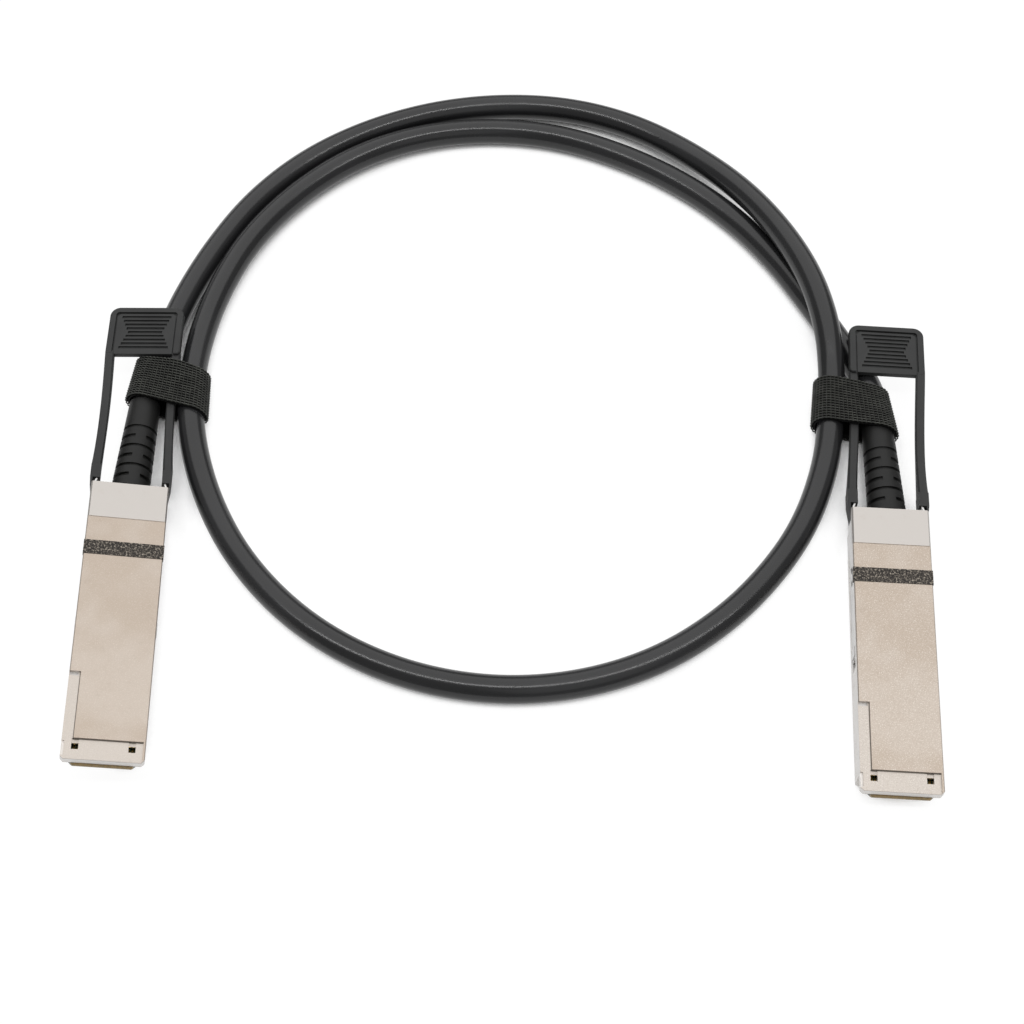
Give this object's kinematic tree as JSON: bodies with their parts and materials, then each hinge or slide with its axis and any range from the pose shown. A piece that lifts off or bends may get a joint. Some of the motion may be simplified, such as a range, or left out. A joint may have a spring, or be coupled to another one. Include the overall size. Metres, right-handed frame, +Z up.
{
  "type": "direct attach copper cable",
  "caption": "Direct attach copper cable wound into a loop: metal pluggable connectors with sliding latches, pull tabs and boots, joined by a round shielded cable held by woven ties.",
  "frame": {"origin": "bottom centre of the box round both plugs with their tabs and boots, on the surface that the cable lies on", "axes": "+Z up from the surface; +Y from the plugs' noses towards the far side of the loop; +X to the right, from the left plug to the right plug"},
  "size_m": [0.2058, 0.2099, 0.0141],
  "materials": {
    "die_cast_plate": "satin nickel plating on a zinc die casting, fine grained over the front field and smoother at the rear",
    "slider_steel": "stamped stainless sheet, lightly brushed along its length",
    "screw_steel": "plated machine screws",
    "spring_wire": "drawn spring wire",
    "gasket_foam": "dark granular conductive sealing strip",
    "card_laminate": "dark solder mask over glass laminate",
    "contact_gold": "hard gold plating",
    "chip_epoxy": "dark moulding compound",
    "pair_foil": "foil shield round each pair",
    "comb_plastic": "plain moulded plastic",
    "ferrule_brass": "plain crimped brass",
    "braid_copper": "tinned copper braid",
    "tab_rubber": "dark grey matte moulded rubber",
    "boot_rubber": "black matte moulded rubber",
    "cable_jacket": "charcoal extruded jacket with a soft satin sheen, no print",
    "tie_weave": "black coarse hook-and-loop weave with ribs along it and cut edges"
  },
  "bodies": {
    "cable_assembly": {"left_upper_shell": "die_cast_plate", "left_lower_shell": "die_cast_plate", "left_shell_screws": "screw_steel", "left_upper_gasket": "gasket_foam", "left_lower_gasket": "gasket_foam", "left_paddle_card": "card_laminate", "left_contact_pads": "contact_gold", "left_memory_chip": "chip_epoxy", "left_wire_pairs": "pair_foil", "left_wire_comb": "comb_plastic", "left_crimp_ferrule": "ferrule_brass", "left_shield_braid": "braid_copper", "left_return_springs": "spring_wire", "left_strain_relief": "boot_rubber", "left_jacket_end": "cable_jacket", "left_tie": "tie_weave", "right_upper_shell": "die_cast_plate", "right_lower_shell": "die_cast_plate", "right_shell_screws": "screw_steel", "right_upper_gasket": "gasket_foam", "right_lower_gasket": "gasket_foam", "right_paddle_card": "card_laminate", "right_contact_pads": "contact_gold", "right_memory_chip": "chip_epoxy", "right_wire_pairs": "pair_foil", "right_wire_comb": "comb_plastic", "right_crimp_ferrule": "ferrule_brass", "right_shield_braid": "braid_copper", "right_return_springs": "spring_wire", "right_strain_relief": "boot_rubber", "right_jacket_end": "cable_jacket", "right_tie": "tie_weave", "cable": "cable_jacket"},
    "left_release": {"left_latch_slider": "slider_steel", "left_pull_tab": "tab_rubber"},
    "right_release": {"right_latch_slider": "slider_steel", "right_pull_tab": "tab_rubber"}
  },
  "joints": [
    {"name": "left_release_slide", "type": "slide", "parent": "cable_assembly", "child": "left_release", "axis": [-0.0192, 0.9993, -0.0314], "range_m": [0, 0.0033], "stiffness_N_per_m": 1200, "springref_m": -0.002, "deforming": ["left_return_springs"]},
    {"name": "right_release_slide", "type": "slide", "parent": "cable_assembly", "child": "right_release", "axis": [0.0663, 0.9978, 0], "range_m": [0, 0.0033], "stiffness_N_per_m": 1200, "springref_m": -0.002, "deforming": ["right_return_springs"]}
  ]
}
